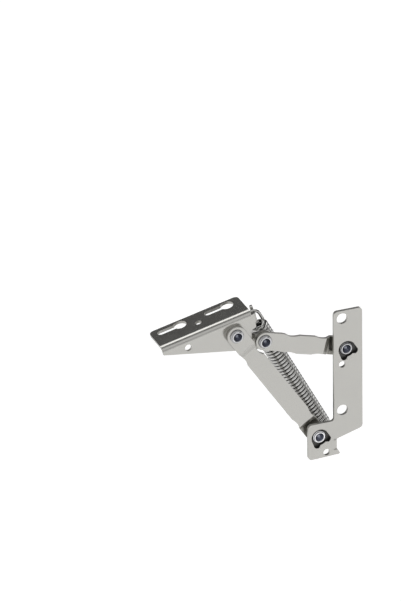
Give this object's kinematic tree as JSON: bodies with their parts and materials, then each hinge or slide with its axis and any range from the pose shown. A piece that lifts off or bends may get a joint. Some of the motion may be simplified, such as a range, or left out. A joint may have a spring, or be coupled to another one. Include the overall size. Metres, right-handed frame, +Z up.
{
  "type": "flap stay",
  "caption": "Sprung stay for a cabinet flap: a side plate carries a long arm and a short link that swing a keyhole bracket, pulled by a tension spring.",
  "frame": {"origin": "half way between the two screw holes of the side plate, on the face that lies against the cabinet side", "axes": "+X along the flap towards the cabinet's front edge, +Y away from the cabinet side, +Z up"},
  "size_m": [0.1299, 0.031, 0.1079],
  "materials": {
    "sheet_steel": "satin nickel plate",
    "rivet_steel": "bright zinc plate",
    "washer_steel": "satin",
    "spring_wire": "bright nickel plate"
  },
  "bodies": {
    "side_plate": {"frame_plate": "sheet_steel", "rivet_plate_link": "rivet_steel", "washer_plate_link": "washer_steel", "rivet_plate_arm": "rivet_steel", "washer_plate_arm": "washer_steel"},
    "link": {"short_link": "sheet_steel"},
    "bracket": {"flap_bracket": "sheet_steel", "rivet_bracket_arm": "rivet_steel", "washer_bracket_arm": "washer_steel", "rivet_bracket_link": "rivet_steel", "washer_bracket_link": "washer_steel"},
    "arm": {"long_arm": "sheet_steel", "rivet_head_plate_arm": "rivet_steel"},
    "spring": {"tension_spring": "spring_wire"},
    "spring_end": {"spring_hook": "spring_wire"}
  },
  "joints": [
    {"name": "link_swing", "type": "hinge", "parent": "side_plate", "child": "link", "pos_m": [0.0032, 0.0053, 0.01], "axis": [0, 1, 0], "range_deg": [0, 67.36], "stiffness_Nm_per_rad": 0.3, "springref_deg": -20.05},
    {"name": "bracket_swing", "type": "hinge", "parent": "link", "child": "bracket", "pos_m": [-0.0497, 0.0053, 0.0242], "axis": [0, -1, 0], "range_deg": [0, 144.37]},
    {"name": "arm_swing", "type": "hinge", "parent": "bracket", "child": "arm", "pos_m": [-0.0684, 0.0053, 0.0317], "axis": [0, 1, 0], "range_deg": [0, 110.38]},
    {"name": "spring_swing", "type": "hinge", "parent": "side_plate", "child": "spring", "pos_m": [-0.003, 0.0166, -0.0544], "axis": [0, 1, 0], "range_deg": [0, 21.05]},
    {"name": "spring_stretch", "type": "slide", "parent": "spring", "child": "spring_end", "axis": [-0.4723, 0, 0.8815], "range_m": [0, 0.01545], "deforming": ["tension_spring", "spring_hook"]}
  ],
  "couplings": [
    {"joint": "bracket_swing", "follows": "link_swing", "ratio": 2.143},
    {"joint": "arm_swing", "follows": "link_swing", "ratio": 1.6384},
    {"joint": "spring_swing", "follows": "link_swing", "ratio": 0.31243},
    {"joint": "spring_stretch", "follows": "link_swing", "m_per_rad": 0.013139}
  ]
}
